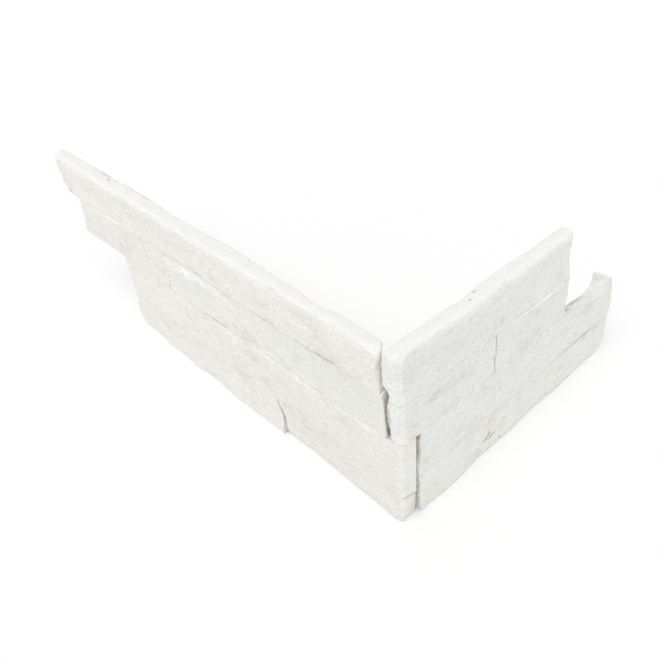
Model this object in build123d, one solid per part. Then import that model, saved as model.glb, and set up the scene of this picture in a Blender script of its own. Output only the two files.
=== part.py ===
"""Corner panel of split natural stone: eleven flat-backed strips in four courses, lapped at the corner.

The long leg lies along X with its riven face towards -Y. The short leg lies along Y with its riven face
towards +X. The origin is the foot of the line where the two flat backs meet, on the wall's outside corner.
"""
from build123d import *
import math
import os
import random
from dataclasses import dataclass

# Courses, measured up from the foot of the panel
PANEL_HEIGHT = 152.4
LOW_BED = 38.0
MIDDLE_BED = 80.0
LONG_HIGH_BED = 118.0
HIGH_BED_STEP = 4.0
SHORT_HIGH_BED = LONG_HIGH_BED - HIGH_BED_STEP

# Reach of each leg's free end from the line where the backs meet
LONG_TOP_REACH = 427.0
LONG_SECOND_REACH = 402.0
LONG_LOW_REACH = 330.0
SHORT_HIGH_REACH = 170.0
SHORT_LOW_REACH = 243.0

# Butt joints within a course, from the same line to the middle of the joint
LONG_SECOND_JOINT = 251.0
LONG_SECOND_GAP = 0.6
LONG_BOTTOM_JOINT = 113.0
LONG_BOTTOM_GAP = 1.6
SHORT_SECOND_JOINT = 82.0
SHORT_SECOND_GAP = 1.0

# Corner laps: the short leg covers the two upper courses, the long leg the two lower ones
HIGH_CORNER_GAP = 0.8
LOW_CORNER_GAP = 4.2
TOP_LAP_SETBACK = 3.0
SECOND_LAP_SETBACK = 1.2
SECOND_OVERSAIL = 1.6
LAP_OPENING = (7.5, 6.5, 3.8, 4.2, 7.0)
LAP_HINGE = 1.0
CORNER_CHIP_OPENING = (5.6, -0.8)
CORNER_CHIP_RISE = 3.5

# Thickness of the stones, from the flat back to the mean riven face
LONG_TOP_THICKNESS = 17.0
LONG_SECOND_THICKNESS = 15.4
LONG_THIRD_THICKNESS = 15.8
LONG_BOTTOM_THICKNESS = 15.0
SHORT_TOP_THICKNESS = 14.8
SHORT_SECOND_THICKNESS = 15.2
SHORT_THIRD_THICKNESS = 15.5
SHORT_BOTTOM_THICKNESS = 15.2

# Riven faces: how far the split wanders, how often, and how many lines of wander run from bed to bed
SPLIT_WANDER = 0.9
SPLIT_PITCH = 25.0
SPLIT_LINES = 4

# Arrises: worn along the open edges, most at the ends that lap over the corner, tight against a neighbour
WORN_ARRIS = 2.6
TIGHT_ARRIS = 0.6
WORN_END = 2.2
LAP_END = 4.6
TIGHT_END = 0.8
END_MIDDLE = 7.0
LAP_END_MIDDLE = 4.0

# Breaks along the back of the two top stones: places along the leg, each with the depth broken away
BREAK_HEIGHT = 20.0
BREAK_PITCH = 13.0
LONG_TOP_BREAK = (
    (-290.0, 0.5),
    (-240.0, 3.4),
    (-150.0, 2.0),
    (-105.0, 4.6),
    (-80.0, 4.6),
    (-64.0, 8.7),
    (-48.0, 4.6),
    (0.0, 6.0),
)
SHORT_TOP_BREAK = ((0.0, 1.0), (45.0, 1.8), (58.0, 3.4), (72.0, 0.9), (104.0, 0.4), (130.0, 2.0), (150.0, 1.6))

# Foot of the corner stone, which has split away under the riven face
TOE_BREAK = 2.5
TOE_HEIGHT = 7.0

# Hollow broken out of the open bed beside the short leg's step: shares of the step, each with its depth
HOLLOW_OUTLINE = ((0.0, 0.0), (0.24, 5.0), (0.54, 7.2), (0.79, 6.6), (0.87, 0.0))
HOLLOW_FALL = 26.0
HOLLOW_CLEARANCE = 5.0

# The block that trims the backs flat starts this far behind them
TRIM_DEPTH = 3.0


def even_value(values, share):
    """Value at a share of the way along evenly spaced values."""
    place = min(max(share, 0.0), 1.0) * (len(values) - 1)
    index = min(int(place), len(values) - 2)
    return values[index] + (values[index + 1] - values[index]) * (place - index)


def table_value(table, place):
    """Value at a place in a table of places and values, level beyond both of its ends."""
    if place <= table[0][0]:
        return table[0][1]
    for (start, low), (finish, high) in zip(table, table[1:]):
        if place <= finish:
            return low + (high - low) * (place - start) / (finish - start)
    return table[-1][1]


def arris_fall(distance, radius):
    """How far a quarter-round arris stands back at a distance from the bed that it runs to."""
    if distance >= radius:
        return 0.0
    return radius - math.sqrt(radius**2 - (radius - distance) ** 2)


@dataclass(frozen=True)
class End:
    """How one end of a stone has broken.

    heights: distances past the mean line, at even heights from the lower bed to the upper one
    arris: bevel between the end and the riven face
    back: how far the end runs on at the flat back
    bow: how far it stands out of its straight line, at bow_depth in front of the back
    """

    heights: tuple = (0.0, 0.0)
    arris: float = TIGHT_END
    back: float = 0.0
    bow: float = 0.0
    bow_depth: float = END_MIDDLE


@dataclass
class Strip:
    """One stone of a leg, in the leg's own frame: X along the leg, riven face towards -Y, flat back on Y = 0.

    foot, head: how far the face stands out at the lower and the upper arris, at even places along the stone
    back_break: depth broken away along the back of the upper bed
    toe_break: setback of the face at the lower bed
    hollow: solid to take out of the stone
    """

    name: str
    left: float
    right: float
    bottom: float
    top: float
    thickness: float
    seed: int
    foot: tuple = (0.0, 0.0)
    head: tuple = (0.0, 0.0)
    lower_arris: float = TIGHT_ARRIS
    upper_arris: float = TIGHT_ARRIS
    left_end: End = End()
    right_end: End = End()
    back_break: tuple = ()
    toe_break: float = 0.0
    hollow: object = None

    def __post_init__(self):
        """Draw the wander of the split, as lines from end to end at even heights."""
        draw = random.Random(self.seed)
        self.stations = max(4, round((self.right - self.left) / SPLIT_PITCH)) + 1
        self.wander = [[draw.uniform(-1, 1) for _ in range(self.stations)] for _ in range(SPLIT_LINES)]

    def height_share(self, z):
        """Height in the stone, from 0 at its lower bed to 1 at its upper bed."""
        return (z - self.bottom) / (self.top - self.bottom)

    def levels(self):
        """Heights of the plan sections, each with the setback of the arrises there."""
        heights = [self.bottom + share * self.lower_arris for share in (0.0, 0.3, 1.0)]
        heights += [self.bottom + (self.top - self.bottom) * share for share in (0.2, 0.4, 0.6, 0.8)]
        heights += [self.top - share * self.upper_arris for share in (1.0, 0.3, 0.0)]
        setbacks = [
            arris_fall(z - self.bottom, self.lower_arris) + arris_fall(self.top - z, self.upper_arris)
            for z in heights
        ]
        return zip(heights, setbacks)

    def split_depth(self, station, z):
        """Depth of the riven face from the back plane."""
        share = self.height_share(z)
        spread = station / (self.stations - 1)
        foot = even_value(self.foot, spread)
        head = even_value(self.head, spread)
        wander = even_value([line[station] for line in self.wander], share)
        toe = max(0.0, 1 - (z - self.bottom) / TOE_HEIGHT)
        return self.thickness + foot + (head - foot) * share + SPLIT_WANDER * wander - self.toe_break * toe**2

    def back_line(self, x, z):
        """Y of the rough back, which the flat trim cuts except where the stone has broken away."""
        rough = TRIM_DEPTH / 2
        if not self.back_break:
            return rough
        share = max(0.0, 1 - (self.top - z) / BREAK_HEIGHT)
        return rough - share * (rough + table_value(self.back_break, x))

    def end_outline(self, end, side, line, shoulder_y, z):
        """Outline of an end in plan, from its back corner to its shoulder; side is -1 left and 1 right."""
        share = 1 + end.bow_depth / shoulder_y
        bow_x = line + side * (end.back * share + end.bow)
        back_y = self.back_line(line, z)
        overrun = 1 + back_y / end.bow_depth
        back_x = bow_x + (line + side * end.back - bow_x) * overrun
        return [(back_x, back_y), (bow_x, -end.bow_depth), (line, shoulder_y)]

    def plan_section(self, z, setback):
        """Outline of the stone at one height, as a flat face."""
        share = self.height_share(z)
        left = self.left - even_value(self.left_end.heights, share) + setback
        right = self.right + even_value(self.right_end.heights, share) - setback
        first = left + self.left_end.arris
        last = right - self.right_end.arris
        front = [
            (first + (last - first) * station / (self.stations - 1), setback - self.split_depth(station, z))
            for station in range(self.stations)
        ]
        left_outline = self.end_outline(self.left_end, -1, left, front[0][1] + self.left_end.arris, z)
        right_outline = self.end_outline(self.right_end, 1, right, front[-1][1] + self.right_end.arris, z)
        back_left, back_right = left_outline[0], right_outline[0]
        with BuildSketch(Plane.XY.offset(z)) as sketch:
            with BuildLine():
                Polyline(*left_outline, front[0])
                Spline(front)
                Polyline(front[-1], *right_outline[::-1])
                if self.back_break:
                    count = round((self.right - self.left) / BREAK_PITCH)
                    xs = [back_right[0] + (back_left[0] - back_right[0]) * i / count for i in range(count + 1)]
                    inner = [(x, self.back_line(x, z)) for x in xs[1:-1]]
                    Spline([back_right, *inner, back_left])
                else:
                    Line(back_right, back_left)
            make_face()
        return sketch.sketch

    def solid(self):
        """The stone: plan sections joined from bed to bed, then trimmed flat at the back."""
        rough = loft([self.plan_section(z, setback) for z, setback in self.levels()], ruled=True)
        span = 2 * (self.right - self.left)
        depth = 3 * self.thickness
        middle = (self.left + self.right) / 2
        with BuildPart() as trim:
            with Locations((middle, -depth / 2, (self.bottom + self.top) / 2)):
                Box(span, depth, self.top - self.bottom)
        stone = rough & trim.part
        if self.hollow:
            stone -= self.hollow()
        return stone


def open_bed_hollow():
    """The hollow in the open bed beside the short leg's step, falling towards the back."""
    step = SHORT_LOW_REACH - SHORT_HIGH_REACH
    fall = math.radians(HOLLOW_FALL)
    rise = HOLLOW_CLEARANCE * math.tan(fall)
    outline = [
        (SHORT_HIGH_REACH + share * step, MIDDLE_BED - depth + rise) for share, depth in HOLLOW_OUTLINE
    ]
    above = MIDDLE_BED + 2 * SHORT_THIRD_THICKNESS
    start = SHORT_THIRD_THICKNESS + HOLLOW_CLEARANCE
    run = 2 * start
    with BuildPart() as cutter:
        with BuildSketch(Plane(origin=(0, -start, 0), x_dir=(1, 0, 0), z_dir=(0, -1, 0))):
            with BuildLine():
                Spline(outline)
                Polyline(outline[-1], (outline[-1][0], above), (outline[0][0], above), outline[0])
            make_face()
        extrude(amount=run, dir=(0, math.cos(fall), -math.sin(fall)))
    return cutter.part


# How the bottom course's butt joint leans, at even heights; both of its stones follow it
LONG_BOTTOM_LEAN = (0.0, 1.0, 1.8, -4.0)

LONG_LEG = [
    Strip(
        "long_top_strip",
        left=-LONG_TOP_REACH,
        right=-HIGH_CORNER_GAP,
        bottom=LONG_HIGH_BED,
        top=PANEL_HEIGHT,
        thickness=LONG_TOP_THICKNESS,
        seed=11,
        foot=(-2.4, -1.0, -3.0, 0.6, 0.8),
        head=(-3.4, -1.6, -0.8, -1.3, -1.2),
        upper_arris=WORN_ARRIS,
        left_end=End(heights=(-9.5, 2.0, 1.4, 1.2, 3.2, 4.3, 4.8), arris=WORN_END, back=8.0, bow=1.0),
        right_end=End(heights=(0.3, 0.3, -0.6, -2.2, -1.6, 0.2, 0.2), back=-11.0, bow=2.6, bow_depth=11.5),
        back_break=LONG_TOP_BREAK,
    ),
    Strip(
        "long_second_outer_strip",
        left=-LONG_SECOND_REACH,
        right=-LONG_SECOND_JOINT - LONG_SECOND_GAP / 2,
        bottom=MIDDLE_BED,
        top=LONG_HIGH_BED,
        thickness=LONG_SECOND_THICKNESS,
        seed=12,
        foot=(0.2, 0.4, -0.4),
        head=(0.9, 0.2, -0.4),
        lower_arris=WORN_ARRIS,
        left_end=End(heights=(5.5, 0.6, 0.0, -2.4, -2.4), arris=WORN_END, back=2.0, bow=0.8),
    ),
    Strip(
        "long_second_inner_strip",
        left=-LONG_SECOND_JOINT + LONG_SECOND_GAP / 2,
        right=SECOND_OVERSAIL,
        bottom=MIDDLE_BED,
        top=LONG_HIGH_BED,
        thickness=LONG_SECOND_THICKNESS,
        seed=13,
        foot=(0.2, -0.4, -1.0, -1.0, -1.2),
        head=(0.5, 0.9, -0.8, -1.6, -1.2),
        right_end=End(heights=(2.0, 0.0, -0.6, -0.2, 0.3), back=-5.0),
    ),
    Strip(
        "long_third_strip",
        left=-LONG_LOW_REACH,
        right=SHORT_THIRD_THICKNESS,
        bottom=LOW_BED,
        top=MIDDLE_BED,
        thickness=LONG_THIRD_THICKNESS,
        seed=14,
        foot=(0.0, 0.4, 0.6, 0.8, -0.8),
        head=(-0.4, 0.0, 0.9, 1.2, -0.4),
        left_end=End(heights=(2.0, 2.6, 2.0), arris=WORN_END, back=2.0, bow=0.8),
        right_end=End(heights=(0.0, 0.6, 0.2, 0.5, 0.0), arris=WORN_END),
    ),
    Strip(
        "long_bottom_outer_strip",
        left=-LONG_LOW_REACH,
        right=-LONG_BOTTOM_JOINT - LONG_BOTTOM_GAP / 2,
        bottom=0.0,
        top=LOW_BED,
        thickness=LONG_BOTTOM_THICKNESS,
        seed=15,
        foot=(-0.8, 1.2, 1.2, 0.4),
        head=(-0.4, 0.2, 0.2, 0.0),
        lower_arris=WORN_ARRIS,
        left_end=End(heights=(1.5, 9.0, 6.5, 2.0), arris=WORN_END, back=1.0, bow=0.8),
        right_end=End(heights=LONG_BOTTOM_LEAN),
    ),
    Strip(
        "long_bottom_corner_strip",
        left=-LONG_BOTTOM_JOINT + LONG_BOTTOM_GAP / 2,
        right=SHORT_BOTTOM_THICKNESS,
        bottom=0.0,
        top=LOW_BED,
        thickness=LONG_BOTTOM_THICKNESS,
        seed=16,
        foot=(-1.2, -2.0, -1.2, -0.2, 1.2),
        head=(-0.4, -0.8, -1.0, -1.0, -1.0),
        lower_arris=WORN_ARRIS,
        left_end=End(heights=tuple(-lean for lean in LONG_BOTTOM_LEAN)),
        right_end=End(heights=(-1.2, 0.6, 0.0, 0.0), arris=WORN_END),
        toe_break=TOE_BREAK,
    ),
]

SHORT_LEG = [
    Strip(
        "short_top_strip",
        left=TOP_LAP_SETBACK - LONG_TOP_THICKNESS,
        right=SHORT_HIGH_REACH,
        bottom=SHORT_HIGH_BED,
        top=PANEL_HEIGHT,
        thickness=SHORT_TOP_THICKNESS,
        seed=21,
        foot=(-0.4, 0.1, 0.0, -0.9, -0.9),
        head=(-1.8, -1.5, -1.5, -1.3, -1.7),
        upper_arris=WORN_ARRIS,
        left_end=End(heights=(0.4, 0.2, -0.2, 0.0), arris=LAP_END, bow_depth=LAP_END_MIDDLE),
        right_end=End(heights=(1.2, 1.0, -1.2, -0.4, 1.4), arris=WORN_END, back=0.5, bow=1.8, bow_depth=6.0),
        back_break=SHORT_TOP_BREAK,
    ),
    Strip(
        "short_second_corner_strip",
        left=SECOND_LAP_SETBACK - LONG_SECOND_THICKNESS,
        right=SHORT_SECOND_JOINT - SHORT_SECOND_GAP / 2,
        bottom=MIDDLE_BED,
        top=SHORT_HIGH_BED,
        thickness=SHORT_SECOND_THICKNESS,
        seed=22,
        foot=(0.4, 0.0, -0.3),
        head=(0.0, 0.0, 0.0),
        left_end=End(heights=(0.0, -0.4, 0.3, 0.0), arris=LAP_END, bow_depth=LAP_END_MIDDLE),
        right_end=End(heights=(0.0, -0.9, -1.3, 0.0)),
    ),
    Strip(
        "short_second_outer_strip",
        left=SHORT_SECOND_JOINT + SHORT_SECOND_GAP / 2,
        right=SHORT_HIGH_REACH,
        bottom=MIDDLE_BED,
        top=SHORT_HIGH_BED,
        thickness=SHORT_SECOND_THICKNESS,
        seed=23,
        foot=(0.0, 0.0, -0.5),
        head=(-0.6, 0.8, 0.8),
        right_end=End(heights=(0.0, 0.4, 0.7, 0.3), arris=WORN_END, back=2.0, bow=0.8),
    ),
    Strip(
        "short_third_strip",
        left=LOW_CORNER_GAP,
        right=SHORT_LOW_REACH,
        bottom=LOW_BED,
        top=MIDDLE_BED,
        thickness=SHORT_THIRD_THICKNESS,
        seed=24,
        foot=(0.6, 0.3, 0.5, 0.0, -0.5),
        head=(0.3, 0.0, 0.5, 0.0, -0.5),
        left_end=End(heights=(1.7, 1.9, 0.7, 0.8, 0.0)),
        right_end=End(heights=(0.0, 1.8, 2.0, 1.2, -6.5), arris=WORN_END, back=-2.0, bow=1.5),
        hollow=open_bed_hollow,
    ),
    Strip(
        "short_bottom_strip",
        left=LOW_CORNER_GAP,
        right=SHORT_LOW_REACH,
        bottom=0.0,
        top=LOW_BED,
        thickness=SHORT_BOTTOM_THICKNESS,
        seed=25,
        foot=(2.2, 1.2, 0.2, 0.0, -0.5),
        head=(0.5, 0.0, -0.3, 0.0, 0.0),
        lower_arris=WORN_ARRIS,
        left_end=End(heights=(1.0, 1.3, 1.0, 1.8)),
        right_end=End(heights=(-5.0, 3.0, 3.8, 2.2, 0.6), arris=WORN_END, back=-2.0, bow=1.5),
    ),
]

# Stones of the short leg that lap over the long leg's second course
LAPPING_STRIPS = ("short_top_strip", "short_second_corner_strip")


def lap_cutter():
    """Room for the slanted end of the long leg's second course, chipped out above it at the corner.

    It is cut from the stones that lap over that course.
    """
    depth = 2 * LONG_SECOND_THICKNESS
    height = LONG_HIGH_BED + HIGH_CORNER_GAP - MIDDLE_BED
    heights = [MIDDLE_BED + height * index / (len(LAP_OPENING) - 1) for index in range(len(LAP_OPENING))]
    heights += [heights[-1] + CORNER_CHIP_RISE * (index + 1) for index in range(len(CORNER_CHIP_OPENING))]
    sections = []
    for z, opening in zip(heights, LAP_OPENING + CORNER_CHIP_OPENING):
        reach = opening * depth / LONG_SECOND_THICKNESS
        with BuildSketch(Plane.XY.offset(z)) as section:
            Polygon((-LAP_HINGE, 0), (-depth, 0), (-depth, -depth), (reach, -depth), align=None)
        sections.append(section.sketch)
    return loft(sections, ruled=True)


def main():
    """Write each stone to its own file."""
    os.makedirs("parts", exist_ok=True)
    for strip in LONG_LEG:
        export_step(strip.solid(), f"parts/{strip.name}.step")
    notch = lap_cutter()
    for strip in SHORT_LEG:
        stone = Rot(Z=90) * strip.solid()
        if strip.name in LAPPING_STRIPS:
            stone -= notch
        export_step(stone, f"parts/{strip.name}.step")


main()
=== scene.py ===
"""Looks of a split-face corner panel: strips of white quartzite, riven, chipped and glued in four courses.

Places on a stone are given as its maker would measure them, in millimetres: along the leg from the corner,
out from the flat back, and up from the foot.
"""
import logging
import math
from dataclasses import dataclass, field
from enum import Enum
from typing import Union

import bpy
import numpy as np
from mathutils import Matrix, Vector, noise


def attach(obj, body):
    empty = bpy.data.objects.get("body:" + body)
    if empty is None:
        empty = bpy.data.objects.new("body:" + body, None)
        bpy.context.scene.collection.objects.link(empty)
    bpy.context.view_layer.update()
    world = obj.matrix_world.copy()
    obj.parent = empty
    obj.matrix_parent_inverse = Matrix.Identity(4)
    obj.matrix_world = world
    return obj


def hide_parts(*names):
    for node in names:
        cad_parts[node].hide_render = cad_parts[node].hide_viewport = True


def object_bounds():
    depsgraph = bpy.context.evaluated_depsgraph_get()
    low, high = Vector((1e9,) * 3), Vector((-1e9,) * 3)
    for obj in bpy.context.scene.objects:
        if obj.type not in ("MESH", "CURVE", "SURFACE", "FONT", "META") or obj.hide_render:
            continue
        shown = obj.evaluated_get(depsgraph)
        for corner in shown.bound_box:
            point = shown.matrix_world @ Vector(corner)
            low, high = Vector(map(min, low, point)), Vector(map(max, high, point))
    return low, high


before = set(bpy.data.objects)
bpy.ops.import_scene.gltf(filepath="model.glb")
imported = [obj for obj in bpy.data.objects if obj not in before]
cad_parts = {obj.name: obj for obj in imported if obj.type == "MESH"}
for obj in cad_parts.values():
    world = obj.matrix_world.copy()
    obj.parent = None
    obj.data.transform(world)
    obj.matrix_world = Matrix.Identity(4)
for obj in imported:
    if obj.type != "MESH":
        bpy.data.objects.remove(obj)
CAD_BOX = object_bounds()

log = logging.getLogger("corner_panel")

MM = 0.001
BODY = "root"

# Remeshing size, step at which surfaces are read along an arris or joint, and width of the strip read beside
# an arris, in millimetres
VOXEL = 0.8
BIN = 2.0
STRIP = 2.5

# Share of the faces that stays, height from which an open bed is the panel's top, and height of a bed's band
KEPT_SHARE = 0.42
TOP_BAND = 136.0
BED_BAND = 16.0
ALL_ALONG = -math.inf

# Shift between random fields, their height, and how each finer wave weakens and narrows
FIELD_SHIFT = (17.3, 5.1, 9.7)
FIELD_HEIGHT = 1.5
FIELD_DECAY = 0.9
FIELD_NARROWING = 2.1

# Finer layers in the uneven edge of a mark
EDGE_DETAIL = 3.0

Number = Union[float, "Wire"]
Place = tuple[float, float, float]
Colour = tuple[float, float, float, float]


class Leg(Enum):
    """The two legs of the panel, each with its directions along the leg and out of the riven face."""

    LONG = ((-1, 0, 0), (0, -1, 0))
    SHORT = ((0, 1, 0), (1, 0, 0))

    def axes(self) -> np.ndarray:
        """Rows are the directions along the leg, out of the face and up."""
        return np.array([*self.value, (0, 0, 1)], float)


class Arris(Enum):
    """The arrises of a stone, each by the two ways that it points: axis and sign, axis and sign.

    The axes are 0 along the leg, 1 out of the face and 2 up. The last number is how far from the arris the
    two surfaces beside it are measured.
    """

    FACE_HEAD = (1, 1, 2, 1, 1.0)
    FACE_FOOT = (1, 1, 2, -1, 1.0)
    BACK_HEAD = (1, -1, 2, 1, 3.0)
    NEAR_END = (1, 1, 0, -1, 4.0)
    FAR_END = (1, 1, 0, 1, 4.0)
    NEAR_HEAD = (0, -1, 2, 1, 3.0)
    FAR_HEAD = (0, 1, 2, 1, 3.0)
    NEAR_FOOT = (0, -1, 2, -1, 3.0)


def smooth_step(values: np.ndarray, start: float, finish: float) -> np.ndarray:
    """Rise from 0 at start to 1 at finish, level at both.

    Args:
        values: numbers to read the step at
        start: number where the step begins
        finish: number where it ends

    Returns:
        The height of the step at each value.
    """
    share = np.clip((values - start) / (finish - start), 0, 1)
    return share * share * (3 - 2 * share)


def stretch_share(run: np.ndarray, start: float, finish: float, fade: float) -> np.ndarray:
    """How far places belong to a stretch that fades in and out at its ends.

    Args:
        run: places along the arris or joint
        start: where the stretch begins
        finish: where it ends
        fade: half the length over which each end fades

    Returns:
        The share at each place, from 0 to 1.
    """
    rise = smooth_step(run, start - fade, start + fade)
    return rise * (1 - smooth_step(run, finish - fade, finish + fade))


def random_field(places: np.ndarray, pitch: Place, seed: int, octaves: int = 1) -> np.ndarray:
    """Smooth random heights in space, the same each time for the same seed.

    Args:
        places: points in millimetres, one to a row
        pitch: size of the waves along each axis, in millimetres
        seed: number of the field
        octaves: how many finer waves are laid on the first

    Returns:
        A height between about -1 and 1 for each point.
    """
    shift = np.array(FIELD_SHIFT) * (seed + 1)
    scaled = (places / np.array(pitch) + shift).tolist()
    waves = [noise.fractal(place, FIELD_DECAY, FIELD_NARROWING, octaves) for place in scaled]
    return FIELD_HEIGHT * np.array(waves)


def highest(values: np.ndarray, bins: np.ndarray, chosen: np.ndarray) -> np.ndarray:
    """Highest chosen value in each bin, carried over bins that have none, and evened out a little.

    Args:
        values: a value for each point
        bins: the bin that each point falls in
        chosen: which points count

    Returns:
        One value to a bin.
    """
    count = bins.max() + 1
    best = np.full(count, -np.inf)
    np.maximum.at(best, bins[chosen], values[chosen])
    known = np.flatnonzero(np.isfinite(best))
    best = np.interp(np.arange(count), known, best[known])
    return np.convolve(np.pad(best, 1, mode="edge"), np.ones(3) / 3, mode="valid")


@dataclass(frozen=True)
class Wear:
    """How an arris has worn: its rounding everywhere, and how deep its chips go, in millimetres."""

    rounding: float
    chips: float


TIGHT = Wear(0.05, 0.25)
FLOOR_EDGE = Wear(0.4, 0.5)
WORN = Wear(2.4, 0.9)
ROUGH = Wear(1.2, 1.6)
SOFT = Wear(4.2, 0.5)


@dataclass(frozen=True)
class Break:
    """A stretch of an arris that has broken back further than the rest, in millimetres.

    It runs from start to finish along the arris, and the break reaches depth in from the arris's first
    surface and height in from its second. It fades in and out over fade.
    """

    arris: Arris
    start: float
    finish: float
    depth: float
    height: float
    fade: float = 6.0

    def share_at(self, run: np.ndarray) -> np.ndarray:
        """Share of the full break at places along the arris."""
        return stretch_share(run, self.start, self.finish, self.fade)


@dataclass(frozen=True)
class Hollow:
    """A dent or chip: its middle and half sizes along the leg, out and up, and its depth, in millimetres.

    A crisp hollow has a steep rim, as a chip has, and one that is not crisp fades like a dent. A depth below
    zero makes a swelling.
    """

    middle: Place
    size: Place
    depth: float
    crisp: bool = False

    CRISP_RIM = 0.82
    RIM_PITCH = (4.0, 4.0, 4.0)
    RIM_WANDER = 0.16
    REACH = 1.5

    def depth_at(self, places: np.ndarray, seed: int) -> np.ndarray:
        """Depth of the hollow at points of the stone.

        Args:
            places: points along the leg, out of it and up, in millimetres
            seed: number of the field that makes the rim uneven

        Returns:
            The depth at each point, in millimetres.
        """
        reach = np.linalg.norm((places - np.array(self.middle)) / np.array(self.size), axis=1)
        near = reach < self.REACH
        depth = np.zeros(len(places))
        uneven = reach[near] + self.RIM_WANDER * random_field(places[near], self.RIM_PITCH, seed, 2)
        depth[near] = self.depth * (1 - smooth_step(uneven, self.CRISP_RIM if self.crisp else 0.0, 1.0))
        return depth


@dataclass(frozen=True)
class Relief:
    """Relief of a riven face in millimetres, from broad swells and cleft steps down to crystal lumps.

    The shares say how much of the relief the broken ends, the open and closed beds and the sawn back have.
    Each turn is how squarely a surface must face out, back or up to begin to count, and to count in full.
    """

    swell: float = 0.45
    step: float = 0.36
    ripple: float = 0.26
    lump: float = 0.15
    grain: float = 0.07
    end_share: float = 0.8
    open_bed_share: float = 0.75
    closed_bed_share: float = 0.06
    sawn_share: float = 0.1

    CLEFT_PITCH = (52.0, 30.0, 12.0)
    CLEFTS = 3.4
    CLEFT_EDGE_PITCH = (9.0, 9.0, 4.0)
    CLEFT_EDGE = 0.35
    SWELL_PITCH = (30.0, 30.0, 17.0)
    RIPPLE_PITCH = (8.5, 6.0, 4.6)
    LUMP_PITCH = (3.9, 3.6, 2.9)
    GRAIN_PITCH = (2.0, 2.0, 1.8)
    CLEFT_RISE = (0.35, 0.65)
    SINK = 0.25
    TALLEST = 0.35
    FACE_TURN = (0.3, 0.8)
    BACK_TURN = (0.6, 0.9)
    BED_TURN = (0.7, 0.97)
    TOP_TURN = (0.45, 0.85)
    # Relief depths over which points count as low, for the painted shade in hollows
    LOW_SHADE_DEPTH = (0.35, 1.2)
    # Width of the painted highlight band along the top's front arris
    CREST_LIGHT_WIDTH = (1.0, 8.0)


@dataclass(frozen=True)
class Joint:
    """A bed joint between two stones, whose faces meet flush except where one stands proud.

    proud: stretches along the leg, each with how far the upper stone stands out over the lower one (mm)
    """

    upper: str
    lower: str
    proud: tuple[tuple[float, float, float], ...] = ()

    FADE = 9.0

    def proud_at(self, along: np.ndarray) -> np.ndarray:
        """How far the upper stone stands proud at places along the leg.

        Args:
            along: places in millimetres

        Returns:
            The distance at each place, below zero where the lower stone stands proud.
        """
        total = np.zeros(len(along))
        for start, finish, height in self.proud:
            total += stretch_share(along, start, finish, self.FADE) * height
        return total


class Wire:
    """A number that comes out of a shader node, and that takes part in arithmetic by adding Math nodes."""

    def __init__(self, board: "NodeBoard", socket: bpy.types.NodeSocket) -> None:
        """Keep the board that the socket's node lies on, and the socket."""
        self.board = board
        self.socket = socket

    def _math(self, operation: str, first: Number, second: Number) -> "Wire":
        """Add a Math node.

        Args:
            operation: name of the Math operation
            first: value or wire of its first input
            second: value or wire of its second input

        Returns:
            The node's result.
        """
        return self.board.node("ShaderNodeMath", {"operation": operation}, {0: first, 1: second})

    def __add__(self, other: Number) -> "Wire":
        """Sum of this and another."""
        return self._math("ADD", self, other)

    def __radd__(self, other: Number) -> "Wire":
        """Sum of another and this."""
        return self._math("ADD", other, self)

    def __sub__(self, other: Number) -> "Wire":
        """This less another."""
        return self._math("SUBTRACT", self, other)

    def __rsub__(self, other: Number) -> "Wire":
        """Another less this."""
        return self._math("SUBTRACT", other, self)

    def __mul__(self, other: Number) -> "Wire":
        """Product of this and another."""
        return self._math("MULTIPLY", self, other)

    def __rmul__(self, other: Number) -> "Wire":
        """Product of another and this."""
        return self._math("MULTIPLY", other, self)

    def __neg__(self) -> "Wire":
        """This with its sign changed."""
        return self._math("MULTIPLY", self, -1.0)

    def at_least(self, other: Number) -> "Wire":
        """The larger of this and another."""
        return self._math("MAXIMUM", self, other)

    def at_most(self, other: Number) -> "Wire":
        """The smaller of this and another."""
        return self._math("MINIMUM", self, other)

    def step(self, start: float, finish: float) -> "Wire":
        """A smooth rise from 0 at start to 1 at finish.

        Args:
            start: value where the rise begins
            finish: value where it ends

        Returns:
            The rise, between 0 and 1.
        """
        settings = {"interpolation_type": "SMOOTHSTEP"}
        sockets = {"Value": self, "From Min": start, "From Max": finish, "To Min": 0.0, "To Max": 1.0}
        return self.board.node("ShaderNodeMapRange", settings, sockets)


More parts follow.
